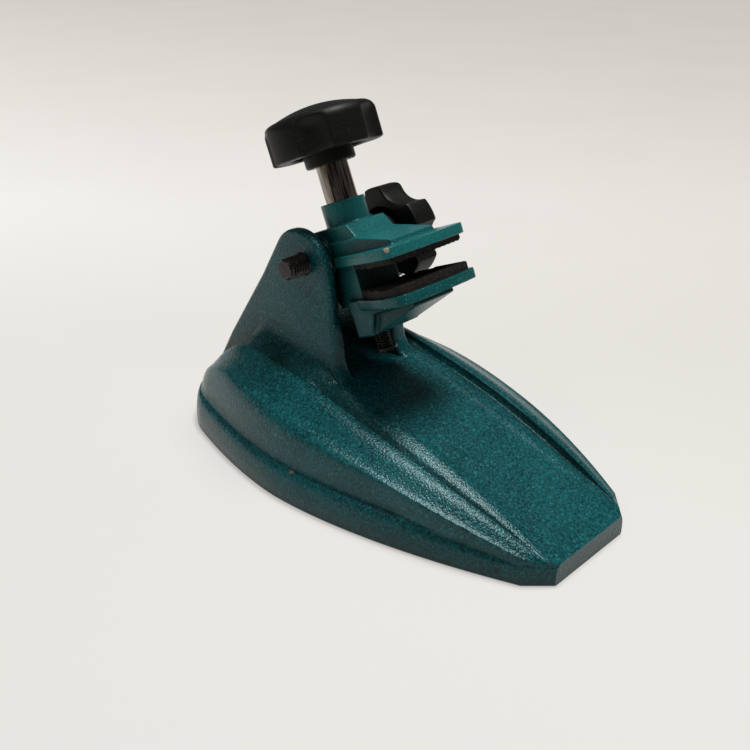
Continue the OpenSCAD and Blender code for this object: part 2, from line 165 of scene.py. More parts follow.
def turnedBar(name, profile, steps):
    # a ring is extruded and resized from one step of the profile to the next, then both ends are filled
    bpy.ops.object.select_all(action="DESELECT")
    r, z = profile[0]
    bpy.ops.mesh.primitive_circle_add(vertices=steps, radius=r, location=(0, 0, 0), fill_type="NGON")
    obj = nameNew(name)
    bpy.ops.object.mode_set(mode="EDIT")
    bpy.ops.mesh.select_all(action="SELECT")
    bpy.ops.transform.translate(value=(0, 0, z))
    bpy.ops.mesh.select_mode(type="FACE")
    for nextR, nextZ in profile[1:]:
        bpy.ops.mesh.extrude_region_move(TRANSFORM_OT_translate={"value": (0, 0, nextZ - z)})
        bpy.ops.transform.resize(value=(nextR / r, nextR / r, 1))
        r, z = nextR, nextZ
    editDone()
    tidyMesh(obj)
    return obj


# materials
def newMaterial(name):
    m = bpy.data.materials.new(name)
    m.use_nodes = True
    tree = m.node_tree
    return m, tree, tree.nodes["Principled BSDF"]


def addNode(tree, kind, **values):
    n = tree.nodes.new(kind)
    for key, value in values.items():
        if key in n.inputs:
            n.inputs[key].default_value = value
        else:
            setattr(n, key, value)
    return n


def feed(tree, socket, value):
    # a socket takes a link from another socket, or else a plain value
    if isinstance(value, bpy.types.NodeSocket):
        tree.links.new(value, socket)
    else:
        socket.default_value = value


def mathNode(tree, operation, *values, clamp=False):
    n = addNode(tree, "ShaderNodeMath", operation=operation, use_clamp=clamp)
    for socket, value in zip(n.inputs, values):
        feed(tree, socket, value)
    return n.outputs["Value"]


def rangeNode(tree, value, seen=(0, 1), given=(0, 1), kind="LINEAR"):
    n = addNode(tree, "ShaderNodeMapRange", interpolation_type=kind)
    for label, number in zip(("From Min", "From Max", "To Min", "To Max"), (*seen, *given)):
        n.inputs[label].default_value = number
    feed(tree, n.inputs["Value"], value)
    return n.outputs["Result"]


def mixNode(tree, factor, a, b):
    n = addNode(tree, "ShaderNodeMix", data_type="RGBA")
    for label, value in (("Factor", factor), ("A", a), ("B", b)):
        feed(tree, n.inputs[label], value)
    return n.outputs["Result"]


def socketGroup(name, inputs, outputs):
    g = bpy.data.node_groups.new(name, "ShaderNodeTree")
    for label, kind, value in inputs:
        socket = g.interface.new_socket(name=label, in_out="INPUT", socket_type=kind)
        socket.default_value = value
    for label, kind in outputs:
        g.interface.new_socket(name=label, in_out="OUTPUT", socket_type=kind)
    return g, g.nodes.new("NodeGroupInput"), g.nodes.new("NodeGroupOutput")


def useGroup(tree, group, **values):
    n = tree.nodes.new("ShaderNodeGroup")
    n.node_tree = group
    for key, value in values.items():
        n.inputs[key].default_value = value
    return n


# a grainy skin: a colour that drifts in clouds, small flecks, a fine height and an uneven roughness
skinLook = {"contrast": (0.36, 0.66), "cloudSpan": (0.3, 0.7), "cloudDrift": (-0.16, 0.16), "dome": -0.5}


def makeGrainGroup():
    g, gin, gout = socketGroup(
        "grainySkin",
        [("Dark", "NodeSocketColor", (0, 0, 0, 1)), ("Light", "NodeSocketColor", (1, 1, 1, 1)),
         ("Grain", "NodeSocketFloat", 1500.0), ("Cloud", "NodeSocketFloat", 60.0),
         ("Fleck", "NodeSocketFloat", 0.5)],
        [("Color", "NodeSocketColor"), ("Fleck", "NodeSocketFloat"), ("Height", "NodeSocketFloat"),
         ("Rough", "NodeSocketFloat")])
    link = g.links.new
    where = addNode(g, "ShaderNodeTexCoord").outputs["Object"]
    fine = addNode(g, "ShaderNodeTexNoise", Detail=3.0, Roughness=0.6)
    cloud = addNode(g, "ShaderNodeTexNoise", Detail=2.0, Roughness=0.5)
    cells = addNode(g, "ShaderNodeTexVoronoi", feature="F1")
    for n, size in ((fine, "Grain"), (cloud, "Cloud"), (cells, "Grain")):
        link(where, n.inputs["Vector"])
        link(gin.outputs[size], n.inputs["Scale"])
    sharp = rangeNode(g, fine.outputs["Fac"], skinLook["contrast"])
    drift = rangeNode(g, cloud.outputs["Fac"], skinLook["cloudSpan"], skinLook["cloudDrift"])
    total = mathNode(g, "ADD", sharp, drift, clamp=True)
    link(mixNode(g, total, gin.outputs["Dark"], gin.outputs["Light"]), gout.inputs["Color"])
    one = addNode(g, "ShaderNodeSeparateColor")
    link(cells.outputs["Color"], one.inputs["Color"])
    link(mathNode(g, "GREATER_THAN", one.outputs["Red"], gin.outputs["Fleck"]), gout.inputs["Fleck"])
    height = mathNode(g, "MULTIPLY_ADD", cells.outputs["Distance"], skinLook["dome"], fine.outputs["Fac"])
    link(height, gout.inputs["Height"])
    link(fine.outputs["Fac"], gout.inputs["Rough"])
    return g


grainGroup = makeGrainGroup()


# painted shade: a near-black teal mixed into the paint in recesses, creases and gaps between parts, where
# shade falls
recessShadeLook = {"color": (0.0015, 0.006, 0.0065, 1), "reach": 0.014, "samples": 6}
chipLook = {"ragged": -1.2, "edge": 0.5}  # shares of a chip's radius


def grainyPaint(name, look):
    m, tree, skin = newMaterial(name)
    link = tree.links.new
    grain = useGroup(tree, grainGroup, Dark=look["dark"], Light=look["light"], Grain=look["grain"],
                     Cloud=look["cloud"], Fleck=look["fleckOver"])
    paint = mixNode(tree, grain.outputs["Fleck"], grain.outputs["Color"], look["fleck"])
    if "cavityShade" in look:  # painted shade: the recesses are darkened where ambient occlusion finds them hemmed in
        recess = addNode(tree, "ShaderNodeAmbientOcclusion", samples=recessShadeLook["samples"],
                         Distance=recessShadeLook["reach"])
        unshaded = mathNode(tree, "POWER", recess.outputs["AO"], look["cavityShade"])
        paint = mixNode(tree, unshaded, recessShadeLook["color"], paint)
    for at, radius, bare in look.get("chips", ()):  # ragged spots where the paint is knocked off, in mm
        apart = addNode(tree, "ShaderNodeVectorMath", operation="DISTANCE")
        link(addNode(tree, "ShaderNodeTexCoord").outputs["Object"], apart.inputs[0])
        apart.inputs[1].default_value = [v * mm for v in at]
        ragged = mathNode(tree, "MULTIPLY_ADD", grain.outputs["Rough"], chipLook["ragged"] * radius * mm,
                          apart.outputs["Value"])
        gone = mathNode(tree, "LESS_THAN", ragged, chipLook["edge"] * radius * mm)
        paint = mixNode(tree, gone, paint, bare)
    link(paint, skin.inputs["Base Color"])
    link(rangeNode(tree, grain.outputs["Rough"], given=look["rough"]), skin.inputs["Roughness"])
    bump = addNode(tree, "ShaderNodeBump", Strength=look["bump"], Distance=look["deep"])
    link(grain.outputs["Height"], bump.inputs["Height"])
    link(bump.outputs["Normal"], skin.inputs["Normal"])
    skin.inputs["Metallic"].default_value = look["metal"]
    skin.inputs["Specular IOR Level"].default_value = look["shine"]
    skin.inputs["Specular Tint"].default_value = look.get("tint", (1, 1, 1, 1))
    return m


hammerPaint = grainyPaint("hammerPaint", {
    "dark": (0.002, 0.032, 0.037, 1), "light": (0.012, 0.135, 0.152, 1), "fleck": (0.014, 0.16, 0.175, 1),
    "fleckOver": 0.95, "grain": 1200.0, "cloud": 45.0, "rough": (0.14, 0.28), "bump": 0.8, "deep": 0.0002,
    "metal": 0.0, "shine": 0.32, "tint": (0.70, 0.95, 1.0, 1), "cavityShade": 1.8,
    "chips": [((-48.0, 4.9, 12.8), 0.7, (0.22, 0.10, 0.07, 1)),
              ((-13.6, 18.5, 78.3), 1.0, (0.07, 0.05, 0.035, 1)),
              ((-30.3, -74.8, 3.9), 0.8, (0.004, 0.008, 0.008, 1))]})
jawPaintLook = {
    "dark": (0.008, 0.120, 0.127, 1), "light": (0.020, 0.205, 0.215, 1), "fleck": (0.03, 0.24, 0.24, 1),
    "fleckOver": 0.98, "grain": 1900.0, "cloud": 70.0, "rough": (0.2, 0.36), "bump": 0.4, "deep": 0.0001,
    "metal": 0.0, "shine": 0.3, "tint": (0.75, 0.96, 1.0, 1), "cavityShade": 2.2,
    "chips": [((-18.8, -13.4, 93.6), 0.9, (0.45, 0.38, 0.32, 1))]}
jawPaint = grainyPaint("jawPaint", jawPaintLook)
shadedJawPaint = grainyPaint("shadedJawPaint", {  # painted shade: a darker copy of the jaw paint, with stronger recess shade, for the lower jaw in the upper one's shade
    **jawPaintLook, "dark": (0.005, 0.070, 0.073, 1), "light": (0.013, 0.130, 0.135, 1), "shine": 0.22,
    "cavityShade": 3.0, "chips": ()})
blackPlastic = grainyPaint("blackPlastic", {
    "dark": (0.004, 0.004, 0.0035, 1), "light": (0.010, 0.010, 0.009, 1), "fleck": (0.016, 0.016, 0.015, 1),
    "fleckOver": 0.92, "grain": 2600.0, "cloud": 80.0, "rough": (0.36, 0.56), "bump": 0.18, "deep": 0.0001,
    "metal": 0.0, "shine": 0.22})
padRubber = grainyPaint("padRubber", {
    "dark": (0.006, 0.005, 0.004, 1), "light": (0.020, 0.016, 0.013, 1), "fleck": (0.05, 0.04, 0.032, 1),
    "fleckOver": 0.93, "grain": 2200.0, "cloud": 120.0, "rough": (0.55, 0.85), "bump": 0.3, "deep": 0.0001,
    "metal": 0.0, "shine": 0.3})
blackOxide = grainyPaint("blackOxide", {
    "dark": (0.012, 0.011, 0.010, 1), "light": (0.050, 0.046, 0.042, 1), "fleck": (0.10, 0.09, 0.08, 1),
    "fleckOver": 0.95, "grain": 2400.0, "cloud": 200.0, "rough": (0.22, 0.42), "bump": 0.15, "deep": 0.00008,
    "metal": 0.7, "shine": 0.5})
insertBrass = grainyPaint("insertBrass", {
    "dark": (0.40, 0.28, 0.11, 1), "light": (0.62, 0.46, 0.20, 1), "fleck": (0.7, 0.55, 0.28, 1),
    "fleckOver": 0.97, "grain": 2400.0, "cloud": 200.0, "rough": (0.25, 0.45), "bump": 0.1, "deep": 0.00005,
    "metal": 1.0, "shine": 0.5})
polishedSteel = grainyPaint("polishedSteel", {
    "dark": (0.42, 0.38, 0.34, 1), "light": (0.62, 0.57, 0.52, 1), "fleck": (0.36, 0.29, 0.22, 1),
    "fleckOver": 0.96, "grain": 1800.0, "cloud": 150.0, "rough": (0.10, 0.22), "bump": 0.06, "deep": 0.00004,
    "metal": 1.0, "shine": 0.5})


# streaks along the shank: partly burnish marks, partly painted reflection, their dark and light tones
# standing in for the surroundings mirrored in the polished steel
def streakedSteel(name, look):
    m, tree, skin = newMaterial(name)
    link = tree.links.new
    turn = addNode(tree, "ShaderNodeMapping", vector_type="TEXTURE")  # turned with the clamp, then stretched
    turn.inputs["Rotation"].default_value = (clampTilt, 0, 0)
    turn.inputs["Scale"].default_value = look["stretch"]
    link(addNode(tree, "ShaderNodeTexCoord").outputs["Object"], turn.inputs["Vector"])
    streak = addNode(tree, "ShaderNodeTexNoise", Scale=look["streak"], Detail=4.0, Roughness=0.65)
    link(turn.outputs["Vector"], streak.inputs["Vector"])
    sharp = rangeNode(tree, streak.outputs["Fac"], look["contrast"])
    link(mixNode(tree, sharp, look["dark"], look["light"]), skin.inputs["Base Color"])
    link(rangeNode(tree, streak.outputs["Fac"], given=look["rough"]), skin.inputs["Roughness"])
    skin.inputs["Metallic"].default_value = 1.0
    return m


shaftSteel = streakedSteel("shaftSteel", {
    "dark": (0.030, 0.024, 0.018, 1), "light": (0.42, 0.37, 0.32, 1), "stretch": (1, 1, 18), "streak": 620.0,
    "contrast": (0.40, 0.64), "rough": (0.12, 0.30)})
print("materials made")


# base: cross-sections along its length, hollow below, with the ears united to it; lengths in mm
baseLook = {
    "length": 180, "width": 102, "frontWidth": 39, "frontHeight": 8, "noseWidth": 48, "waist": 14,
    "sidePower": 1.7, "rearRadius": 30, "rearFall": 2.4, "wall": 5.5, "hollow": 3, "foot": 9,
    "footBevel": (0.5, 0.8), "curveSteps": 5,
    "deckHalf": 20, "deckInFront": 2.4, "deckSlope": 20.4, "deckBow": 0.00085, "saddle": 36,
    "groove": 2.6, "bead": 0.3, "beadIn": 1.4, "beadRun": 5,
    "ridgeWidth": 57, "ridgeFront": 0.6, "ridgeRun": 75, "ridgePower": 1.7, "ridgeBow": 0.00105,
    "ridgeSink": 0.8, "sinkFrom": 50, "sinkRun": 30,
    "swellIn": 10, "swellInFront": 1.2, "swellRun": 108, "swellPower": 1.7, "swellSlope": 18,
    "swellBow": 0.00115, "swellDrop": 0.72, "swellLift": 1.2, "liftFrom": 60, "liftRun": 60,
    "rimHeight": 12.4, "rimDrop": 1.2, "rimRun": 87, "rimIn": 2.2, "rimInFront": 0.6, "ledge": 1.5,
    "ledgeFall": 0.6, "soft": 0.6, "softFrom": 15, "softRun": 45,
    "skirtFront": (9, 14), "skirtRear": (70, 22)}
# groove beside the deck: share of the way out to the ridge and of the depth; then, for where the ear's foot
# spreads, share of the way out and height over the ridge
grooveSteps = ((0, -0.05, -0.14, 9), (0.2, 0.1, -0.05, 5.5), (0.45, 0.4, 0.08, 3), (0.65, 0.8, 0.31, 0.9),
               (0.78, 1, 0.62, -0.6), (0.9, 0.6, 0.86, -1.5))
# slope from the ridge to the swell, and flank from the swell to the ledge: share of the way out, share of the
# height left at the front, and the share that the softer rear tends to
slopeSteps = ((0.14, 0.97, 0.87), (0.3, 0.86, 0.68), (0.46, 0.67, 0.46), (0.65, 0.38, 0.26),
              (0.83, 0.15, 0.14), (1, 0, 0))
flankSteps = ((0.3, 0.95, 0.9), (0.5, 0.87, 0.72), (0.65, 0.75, 0.52), (0.82, 0.45, 0.28), (1, 0, 0))
# rim below the ledge: share of its inset and of its height that is left
rimSteps = ((0.35, 0.76), (0, 0.33))
swellPoint = 3 + len(grooveSteps) + len(slopeSteps)  # the swell's place in a cross-section's points
halfLength = baseLook["length"] / 2
rearCentre = halfLength - baseLook["rearRadius"]
sideDrop = (baseLook["width"] - baseLook["noseWidth"]) / 2
sideRun = baseLook["waist"] + halfLength
rearTurn = math.atan(sideDrop * baseLook["sidePower"] / sideRun * (
    (rearCentre + baseLook["rearRadius"] / 4 - baseLook["waist"]) / sideRun) ** (baseLook["sidePower"] - 1))
rearStart = rearCentre + baseLook["rearRadius"] * math.sin(rearTurn)


def ease(t):
    t = min(1, max(0, t))
    return t * t * (3 - 2 * t)


def sideCurve(y):
    return baseLook["width"] / 2 - sideDrop * (abs(y - baseLook["waist"]) / sideRun) ** baseLook["sidePower"]


def halfWidth(y):
    r = baseLook["rearRadius"]
    if y > rearStart:
        corner = sideCurve(rearStart) - r * math.cos(rearTurn)
        return corner + math.sqrt(max(0, r * r - (y - rearCentre) ** 2))
    return min(sideCurve(y), baseLook["frontWidth"] / 2 + y + halfLength)


def climb(s, bow):
    return baseLook["frontHeight"] + math.tan(math.radians(baseLook["deckSlope"])) * s - bow * s * s


def sectionLine(y):
    # half of a cross-section, from the deck's middle down to the foot: deck, ridge, swell, ledge, rim
    b = baseLook
    s = y + halfLength
    h = halfWidth(y)
    shrink = h / halfWidth(rearStart) if y > rearStart else 1
    grow = ease(s / b["rearRadius"])
    k = 1 if y < halfLength / 2 else 1 - ((y - halfLength / 2) / (halfLength / 2)) ** b["rearFall"]
    rimX = h - (b["rimInFront"] + (b["rimIn"] - b["rimInFront"]) * grow) * shrink
    reach = min(1, s / b["swellRun"]) ** b["swellPower"]
    swellX = h - (b["swellInFront"] + (b["swellIn"] - b["swellInFront"]) * reach) * shrink
    deckX = min(b["deckHalf"], h - b["deckInFront"]) * shrink
    spread = 1 - (1 - min(1, s / b["ridgeRun"])) ** b["ridgePower"]
    ridgeOut = b["ridgeFront"] + (b["ridgeWidth"] / 2 - b["deckHalf"] - b["ridgeFront"]) * spread
    ridgeX = deckX + ridgeOut * shrink
    rimFall = b["rimHeight"] - b["frontHeight"] + b["rimDrop"]
    rimZ = b["rimHeight"] - rimFall * (1 - min(1, s / b["rimRun"])) ** 2
    deckZ = rimZ + (min(b["saddle"], climb(s, b["deckBow"])) - rimZ) * k
    ridgeZ = rimZ + (climb(s, b["ridgeBow"]) + grow - rimZ) * k
    swellRise = math.tan(math.radians(b["swellSlope"]))
    swell = b["frontHeight"] - b["swellDrop"] + swellRise * s - b["swellBow"] * s * s
    swellZ = rimZ + (swell + b["swellLift"] * ease((s - b["liftFrom"]) / b["liftRun"]) - rimZ) * k
    ridgeZ -= b["ridgeSink"] * (ridgeZ - swellZ) * ease((y - b["sinkFrom"]) / b["sinkRun"])
    soft = b["soft"] * ease((y - b["softFrom"]) / b["softRun"])
    dip = min(b["groove"], deckZ / 4) * grow * k
    bead = b["bead"] * grow * k
    ledge = b["ledge"] * grow * shrink
    (skirtFrom, skirtIn), (skirtTo, skirtOut) = b["skirtFront"], b["skirtRear"]
    skirt = ease((y - skirtFrom) / skirtIn) * ease((skirtTo - y) / skirtOut)  # where the ear's foot spreads
    line = [(0, deckZ), (deckX - b["beadRun"] * grow * shrink, deckZ),
            (deckX - b["beadIn"] * grow * shrink, deckZ + bead)]
    for t, drop, near, high in grooveSteps:
        low = deckZ + t * (ridgeZ - deckZ) - drop * dip
        out = t + (near - t) * skirt
        line.append((deckX + out * (ridgeX - deckX), low + (ridgeZ + high - low) * skirt))
    line.append((ridgeX, ridgeZ))
    for t, up, rear in slopeSteps:
        line.append((ridgeX + t * (swellX - ridgeX), swellZ + (up + (rear - up) * soft) * (ridgeZ - swellZ)))
    ledgeX, ledgeZ = max(swellX + 0.3, rimX - ledge), rimZ + b["ledgeFall"] * ledge
    for t, up, rear in flankSteps:
        line.append((swellX + t * (ledgeX - swellX), ledgeZ + (up + (rear - up) * soft) * (swellZ - ledgeZ)))
    line.append((rimX, rimZ))
    line += [(h - inset * (h - rimX), up * rimZ) for inset, up in rimSteps]
    return line + [(h, b["footBevel"][1]), (h - b["footBevel"][0], 0)]


def hollowLine(y):
    outer = sectionLine(y)
    x = halfWidth(y) - baseLook["foot"]
    top = max(baseLook["hollow"], outer[0][1] - 3 - baseLook["wall"])
    side = max(baseLook["hollow"], outer[swellPoint][1] - 1 - baseLook["wall"])
    return [(0, top), (min(outer[1][0], x - 2), top), (x, min(top, side)), (x, -1)]


def smoothLine(points, parts):
    # a curve through the points that never overshoots them, with the same number of steps in each span
    p = np.array(points, float)
    d = np.maximum(np.hypot(*np.diff(p, axis=0).T), 1e-6)
    slope = np.diff(p, axis=0) / d[:, None]
    m = np.zeros_like(p)
    m[0], m[-1] = slope[0], slope[-1]
    for i in range(1, len(p) - 1):
        a, b = slope[i - 1], slope[i]
        w1, w2 = 2 * d[i] + d[i - 1], d[i] + 2 * d[i - 1]
        same = a * b > 0
        m[i] = np.where(same, (w1 + w2) / (w1 / np.where(same, a, 1) + w2 / np.where(same, b, 1)), 0)
    out = []
    for i in range(len(p) - 1):
        for t in np.arange(parts) / parts:
            h = d[i]
            out.append(p[i] * (2 * t ** 3 - 3 * t ** 2 + 1) + m[i] * h * (t ** 3 - 2 * t ** 2 + t)
                       + p[i + 1] * (3 * t ** 2 - 2 * t ** 3) + m[i + 1] * h * (t ** 3 - t ** 2))
    return out + [p[-1]]


def loftRows(name, rows):
    # a grid whose rows are laid on the cross-sections, then closed at the front, the rear and below
    columns = len(rows[0][1])
    bpy.ops.object.select_all(action="DESELECT")
    bpy.ops.mesh.primitive_grid_add(x_subdivisions=columns - 1, y_subdivisions=len(rows) - 1, size=2)
    obj = nameNew(name)
    co = np.zeros(len(obj.data.vertices) * 3)
    obj.data.vertices.foreach_get("co", co)
    co = co.reshape(-1, 3)
    i = np.rint((co[:, 0] + 1) / 2 * (columns - 1)).astype(int)
    j = np.rint((co[:, 1] + 1) / 2 * (len(rows) - 1)).astype(int)
    laid = np.array([[(x * mm, y * mm, z * mm) for x, z in line] for y, line in rows])
    obj.data.vertices.foreach_set("co", laid[j, i].ravel())
    obj.data.update()
    low = min(z for y, line in rows for x, z in line) * mm + 1e-6
    for end in (rows[0][0] * mm, rows[-1][0] * mm):
        pickVerts(obj, lambda c: abs(c.y - end) < 1e-6)
        bpy.ops.mesh.edge_face_add()
        editDone()
    pickVerts(obj, lambda c: c.z < low)
    bpy.ops.mesh.edge_face_add()
    editDone()
    tidyMesh(obj, 0.000001)
    return obj


def bothHalves(line):
    return [(-x, z) for x, z in reversed(line[1:])] + [tuple(p) for p in line]


def makeBaseBody():
    nose, noseSteps, bodySteps, rearSteps = 8, 6, 90, 26  # rows lie closer at both ends
    places = [-halfLength + nose * i / noseSteps for i in range(noseSteps)]
    places += [nose - halfLength + (rearStart + halfLength - nose) * i / bodySteps for i in range(bodySteps)]
    for i in range(rearSteps + 1):
        turn = rearTurn + (math.pi / 2 - rearTurn) * i / rearSteps
        places.append(rearCentre + baseLook["rearRadius"] * math.sin(turn))
    parts = baseLook["curveSteps"]
    body = loftRows("baseBody", [(y, bothHalves(smoothLine(sectionLine(y), parts))) for y in places])
    under = loftRows("baseHollow", [(y, bothHalves(hollowLine(y))) for y in places
                                    if 2 * baseLook["foot"] - halfLength < y < halfLength - baseLook["foot"]])
    cutBy(body, under)
    return body


earLook = {"gap": 25.2, "thick": 4.6, "draft": 2.8, "radius": 14.6, "centre": (32.3, 74.1), "straight": 65.6,
           "frontFoot": 12.5, "frontLean": 5.2, "fillet": 9, "rearFoot": (84, 20), "root": (29.5, 60, 16),
           "edge": 1.5, "hole": 4.35, "holeLength": 60}


def earOutline():
    # the ear's side view from its rear foot over the round top to the fillet on the deck, in mm
    cy, cz = earLook["centre"]
    r = earLook["radius"]
    reach, drop = earLook["rearFoot"][0] - cy, cz - earLook["rearFoot"][1]
    turn = math.acos(r / math.hypot(reach, drop)) - math.atan2(drop, reach)
    lean = math.atan2(earLook["frontLean"], cz - baseLook["saddle"] - earLook["fillet"])
    rootHeight, rootBend, rearRoot = earLook["root"]
    line = [(rootBend, rootHeight), (earLook["rearFoot"][0], rearRoot), earLook["rearFoot"]]
    steps = 40
    line += [(cy + r * math.cos(turn + (math.pi - lean - turn) * i / steps),
              cz + r * math.sin(turn + (math.pi - lean - turn) * i / steps)) for i in range(steps + 1)]
    fy = earLook["frontFoot"] - earLook["fillet"]
    fz = climb(fy + halfLength, baseLook["deckBow"]) + earLook["fillet"]
    for a in range(0, 91, 10):
        line.append((fy + earLook["fillet"] * math.cos(math.radians(a)),
                     fz - earLook["fillet"] * math.sin(math.radians(a))))
    return line + [(fy, rootHeight)]


def makeEar(side):
    line = earOutline()
    bpy.ops.object.select_all(action="DESELECT")
    bpy.ops.mesh.primitive_circle_add(vertices=len(line), radius=0.01, fill_type="NGON")
    ear = nameNew("ear")
    inner, outer = earLook["gap"] / 2 * mm, (earLook["gap"] / 2 + earLook["thick"]) * mm
    for v, (y, z) in zip(ear.data.vertices, line):
        v.co = (inner, y * mm, z * mm)
    bpy.ops.object.mode_set(mode="EDIT")
    bpy.ops.mesh.select_all(action="SELECT")
    bpy.ops.mesh.extrude_region_move(TRANSFORM_OT_translate={"value": (outer - inner, 0, 0)})
    for z in (baseLook["saddle"], earLook["straight"]):
        bpy.ops.mesh.select_all(action="SELECT")
        bpy.ops.mesh.bisect(plane_co=(0, 0, z * mm), plane_no=(0, 0, 1))
    editDone()
    run = earLook["straight"] - baseLook["saddle"]
    for v in ear.data.vertices:  # the outside thickens towards the foot
        if v.co.x > (inner + outer) / 2:
            v.co.x += earLook["draft"] * mm * min(1, max(0, (earLook["straight"] - v.co.z / mm) / run))
    tidyMesh(ear)
    pickOnly(ear)
    bpy.ops.object.mode_set(mode="EDIT")
    bpy.ops.mesh.select_mode(type="EDGE")
    bpy.ops.mesh.select_all(action="DESELECT")
    bpy.ops.mesh.edges_select_sharp(sharpness=math.radians(60))
    bpy.ops.mesh.bevel(offset=earLook["edge"] * mm, segments=3, profile=0.5)
    editDone()
    if side < 0:
        ear.data.transform(Matrix.Scale(-1, 4, (1, 0, 0)))
    tidyMesh(ear)
    return ear


def makeBase():
    body = makeBaseBody()
    for side in (-1, 1):
        cutBy(body, makeEar(side), "UNION")
    bpy.ops.object.select_all(action="DESELECT")
    bpy.ops.mesh.primitive_cylinder_add(
        vertices=64, radius=earLook["hole"] * mm, depth=earLook["holeLength"] * mm, location=pivot,
        rotation=(0, math.pi / 2, 0))
    cutBy(body, nameNew("studHole"))
    body.name = "baseCasting"
    shadeSoft(body, 35)
    place(body, "base", "base_paint", hammerPaint, "base_casting")
    print("base made,", len(body.data.polygons), "faces")


makeBase()

# jaws: the solids' own shapes with a casting's rounded edges, then clean bores
# bores: radius, low end and high end along the axis
jawLook = {"voxel": 0.33, "rounds": 5, "studBore": (4.2, -20, 20), "bossBore": (6.05, 7.85, 30),
           "screwBore": (3.4, -30, 9), "threadBore": (3.15, -40, -20)}


def boreAt(obj, radius, low, high, axis="Z"):
    bpy.ops.object.select_all(action="DESELECT")
    bpy.ops.mesh.primitive_cylinder_add(vertices=72, radius=radius * mm, depth=(high - low) * mm)
    tool = nameNew("bore")
    if axis == "Z":
        at = clampPlace @ Matrix.Translation(screwAxis + Vector((0, 0, (low + high) / 2 * mm)))
    else:
        at = studPlace @ Matrix.Translation((0, 0, (low + high) / 2 * mm))
    putAt(tool, at)
    cutBy(obj, tool)


def makeJaws():
    upper = copyNode("upper_jaw", "upperJaw")
    castSkin(upper, jawLook["voxel"] * mm, jawLook["rounds"])
    boreAt(upper, *jawLook["studBore"], "X")
    boreAt(upper, *jawLook["bossBore"])
    boreAt(upper, *jawLook["screwBore"])
    shadeSoft(upper, 60)
    place(upper, "clamp", "jaw_paint", jawPaint, "upper_jaw")
    lower = copyNode("lower_jaw", "lowerJaw")
    castSkin(lower, jawLook["voxel"] * mm, jawLook["rounds"])
    boreAt(lower, *jawLook["threadBore"])
    shadeSoft(lower, 60)
    # the lower jaw takes the darker copy of the jaw paint, its painted shade
    place(lower, "lower_jaw", "jaw_paint", shadedJawPaint, "lower_jaw")
    print("jaws made,", len(upper.data.polygons) + len(lower.data.polygons), "faces")


makeJaws()

# knobs: a ring extruded along the profile, then its lobes are pressed in
clampKnobLook = {
    "radius": 20.8, "height": 17, "edge": 4, "crown": 3, "collar": 4.2, "collarRadius": 9.3, "bore": 6.5,
    "boreDepth": 14.74, "hollow": 7.8, "inner": 13.8, "lobes": 5, "flute": 1.8, "arc": 32, "turn": -176,
    "runOut": 1, "seat": 35.4}
lockKnobLook = {
    "radius": 19.2, "height": 15.6, "edge": 3.5, "crown": 3, "collar": 6.2, "collarRadius": 9.3, "bore": 6.5,
    "boreDepth": 14, "hollow": 6.9, "inner": 11.3, "lobes": 5, "flute": 2.7, "arc": 45, "turn": 180 - 22.5,
    "runOut": 0, "seat": 25}


def knobProfile(k):
    # from the bottom of the bore over the collar and the hollow to the rim and the crown's middle
    r, h, e, c = k["radius"], k["height"], k["edge"], k["crown"]
    collar, inner, hollow = k["collarRadius"], k["inner"], k["hollow"]
    foot, top = -k["collar"], k["boreDepth"] - k["collar"]
    line = [(0.4, top), (k["bore"], top), (k["bore"], foot), (collar - 0.5, foot)]
    line += [(collar, foot + 0.5), (collar, hollow - 1), (collar + 1, hollow)]
    line += [(inner - 1, hollow), (inner, hollow - 1), (inner, 0.5), (inner + 0.5, 0)]
    line += [(r - 2.4, 0), (r - 0.7, 0), (r - 0.2, 0.2), (r, 0.7)]
    line += [(r, 0.7 + (h - c - e - 0.7) * i / 5) for i in range(1, 6)]
    for a in range(9, 82, 9):
        line.append((r - e + e * math.cos(math.radians(a)), h - c - e + e * math.sin(math.radians(a))))
    line += [((r - e) * t, h - c * t * t) for t in (0.98, 0.9, 0.8, 0.7, 0.6, 0.5, 0.4, 0.3, 0.2, 0.1, 0.03)]
    return [(a * mm, b * mm) for a, b in line]


def softLess(a, b, width):
    t = max(0, min(1, 0.5 + 0.5 * (b - a) / width))
    return b + (a - b) * t - width * t * (1 - t)


def pressLobes(obj, k):
    half = math.radians(k["arc"] / 2)
    chord = k["radius"] * math.sin(half)
    fluteR = (chord ** 2 + k["flute"] ** 2) / (2 * k["flute"])
    far = k["radius"] * math.cos(half) - k["flute"] + fluteR
    step = 2 * math.pi / k["lobes"]
    for v in obj.data.vertices:
        rho = math.hypot(v.co.x, v.co.y) / mm
        share = ease((rho - k["inner"] - 0.8) / (k["radius"] - k["edge"] * 0.75 - k["inner"] - 0.8))
        rim = k["height"] - k["crown"]
        share *= 1 - k["runOut"] * ease((v.co.z / mm - rim + 1.2 * k["edge"]) / k["edge"])
        if share <= 0:
            continue
        a = math.atan2(v.co.y, v.co.x) - step / 2
        a -= step * round(a / step)
        under = fluteR ** 2 - (far * math.sin(a)) ** 2
        limit = far * math.cos(a) - math.sqrt(under) if under > 0 else k["radius"] + 9
        pressed = softLess(k["radius"], limit, 0.5)
        new = rho - (k["radius"] - pressed) * share
        v.co.x *= new / rho
        v.co.y *= new / rho


def makeKnob(name, k, at, body, node):
    knob = turnedBar(name, knobProfile(k), 240)
    pressLobes(knob, k)
    putAt(knob, at @ Matrix.Rotation(math.radians(k["turn"]), 4, "Z"))
    tidyMesh(knob)
    shadeSoft(knob, 35)
    place(knob, body, "black_plastic", blackPlastic, node)


clampSeat = clampPlace @ Matrix.Translation(screwAxis + Vector((0, 0, clampKnobLook["seat"] * mm)))
lockSeat = studPlace @ Matrix.Translation((0, 0, lockKnobLook["seat"] * mm))
makeKnob("clampKnob", clampKnobLook, clampSeat, "clamp_screw", "clamp_knob")
makeKnob("lockKnob", lockKnobLook, lockSeat, "lock_knob", "lock_knob")
print("knobs made")

